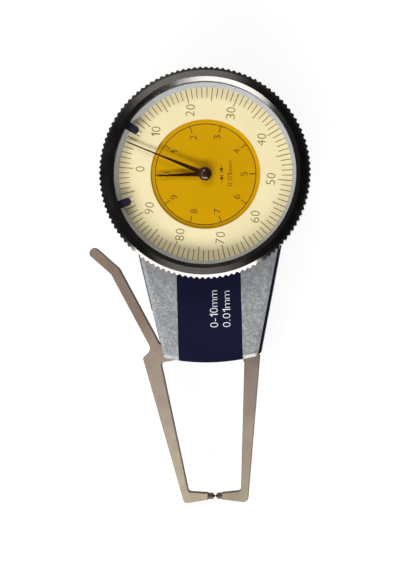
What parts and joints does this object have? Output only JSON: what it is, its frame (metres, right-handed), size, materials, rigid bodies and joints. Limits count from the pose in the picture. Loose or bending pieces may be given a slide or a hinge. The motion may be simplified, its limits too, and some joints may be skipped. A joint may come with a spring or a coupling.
{
  "type": "outside dial caliper gauge",
  "caption": "Outside dial caliper gauge: round dial with a knurled bezel on a tapering case, a finger lever and long jaws that close at carbide points.",
  "frame": {"origin": "on the flat back of the case, under the dial's axis", "axes": "+Z out of the dial, +Y from the measuring points towards the dial, +X to the reader's right; the gauge lies on its back"},
  "size_m": [0.0576, 0.1104, 0.019],
  "materials": {
    "case_blue": "satin paint",
    "case_grey": "hammered paint",
    "plate_blue": "satin paint",
    "jaw_steel": "ground and satin plated",
    "carbide": "lapped",
    "bezel_black": "satin black",
    "crystal": "clear",
    "dial_cream": "matt printed",
    "dial_yellow": "matt printed",
    "spacer_grey": "turned",
    "hand_black": "satin black",
    "marker_blue": "matt",
    "brass": "satin",
    "steel": "bright",
    "spring_alloy": "bright"
  },
  "bodies": {
    "case": {"rear_housing": "case_blue", "front_cover": "case_grey", "name_plate": "plate_blue", "case_screws": "steel", "pivot_pin": "steel", "pivot_washer_lower": "steel", "pivot_washer_upper": "steel", "fixed_jaw": "jaw_steel", "fixed_jaw_screws": "steel", "fixed_contact": "carbide", "lower_plate": "brass", "plate_screws": "steel", "pillar_1": "steel", "pillar_2": "steel", "pillar_3": "steel", "pillar_4": "steel", "upper_plate": "brass", "pillar_screws": "steel", "bush_lower_center": "brass", "bush_lower_drive": "brass", "bush_lower_backlash": "brass", "bush_upper_center": "brass", "bush_upper_drive": "brass", "bush_upper_backlash": "brass", "dial_center": "dial_yellow", "hairspring": "spring_alloy", "hairspring_stud": "steel", "return_spring": "steel", "spring_post": "steel", "stop_pin": "steel"},
    "jaw": {"movable_jaw": "jaw_steel", "movable_contact": "carbide", "pivot_bush": "brass", "sector_gear": "brass", "sector_screws": "steel", "spring_pin": "steel"},
    "drive": {"drive_arbor": "steel", "drive_wheel": "brass", "register_gear": "brass"},
    "center": {"center_arbor": "steel", "long_hand": "hand_black"},
    "register": {"short_hand_wheel": "brass", "short_hand": "hand_black"},
    "backlash": {"backlash_arbor": "steel", "backlash_wheel": "brass", "hairspring_collet": "brass"},
    "bezel_ring": {"bezel": "bezel_black", "crystal": "crystal", "dial_ring": "dial_cream", "spacer_ring": "spacer_grey", "bezel_wire": "steel"},
    "upper_marker": {"marker_upper": "marker_blue"},
    "lower_marker": {"marker_lower": "marker_blue"}
  },
  "joints": [
    {"name": "jaw_pivot", "type": "hinge", "parent": "case", "child": "jaw", "pos_m": [-0.0088, -0.0403, 0.00825], "axis": [0, 0, -1], "range_deg": [0, 13.42], "stiffness_Nm_per_rad": 0.05, "springref_deg": -45.84, "deforming": ["return_spring"]},
    {"name": "drive_spin", "type": "hinge", "parent": "case", "child": "drive", "pos_m": [0.00479, -0.0099, 0.0078], "axis": [0, 0, 1], "range_deg": [0, 359]},
    {"name": "long_hand_spin", "type": "hinge", "parent": "case", "child": "center", "pos_m": [0, 0, 0.0078], "axis": [0, 0, -1], "range_deg": [0, 3590]},
    {"name": "short_hand_spin", "type": "hinge", "parent": "case", "child": "register", "pos_m": [0, 0, 0.0114], "axis": [0, 0, -1], "range_deg": [0, 359]},
    {"name": "backlash_spin", "type": "hinge", "parent": "case", "child": "backlash", "pos_m": [-0.00479, 0.0099, 0.0078], "axis": [0, 0, 1], "range_deg": [0, 359], "deforming": ["hairspring"]},
    {"name": "bezel_spin", "type": "hinge", "parent": "case", "child": "bezel_ring", "pos_m": [0, 0, 0.0155], "axis": [0, 0, 1], "continuous": true},
    {"name": "marker_upper_slide", "type": "hinge", "parent": "bezel_ring", "child": "upper_marker", "pos_m": [0, 0, 0.0165], "axis": [0, 0, 1], "range_deg": [-140, 15]},
    {"name": "marker_lower_slide", "type": "hinge", "parent": "bezel_ring", "child": "lower_marker", "pos_m": [0, 0, 0.0165], "axis": [0, 0, 1], "range_deg": [-15, 140]}
  ],
  "couplings": [
    {"joint": "drive_spin", "follows": "jaw_pivot", "ratio": 26.75},
    {"joint": "long_hand_spin", "follows": "jaw_pivot", "ratio": 267.5},
    {"joint": "short_hand_spin", "follows": "jaw_pivot", "ratio": 26.75},
    {"joint": "backlash_spin", "follows": "jaw_pivot", "ratio": 26.75}
  ]
}
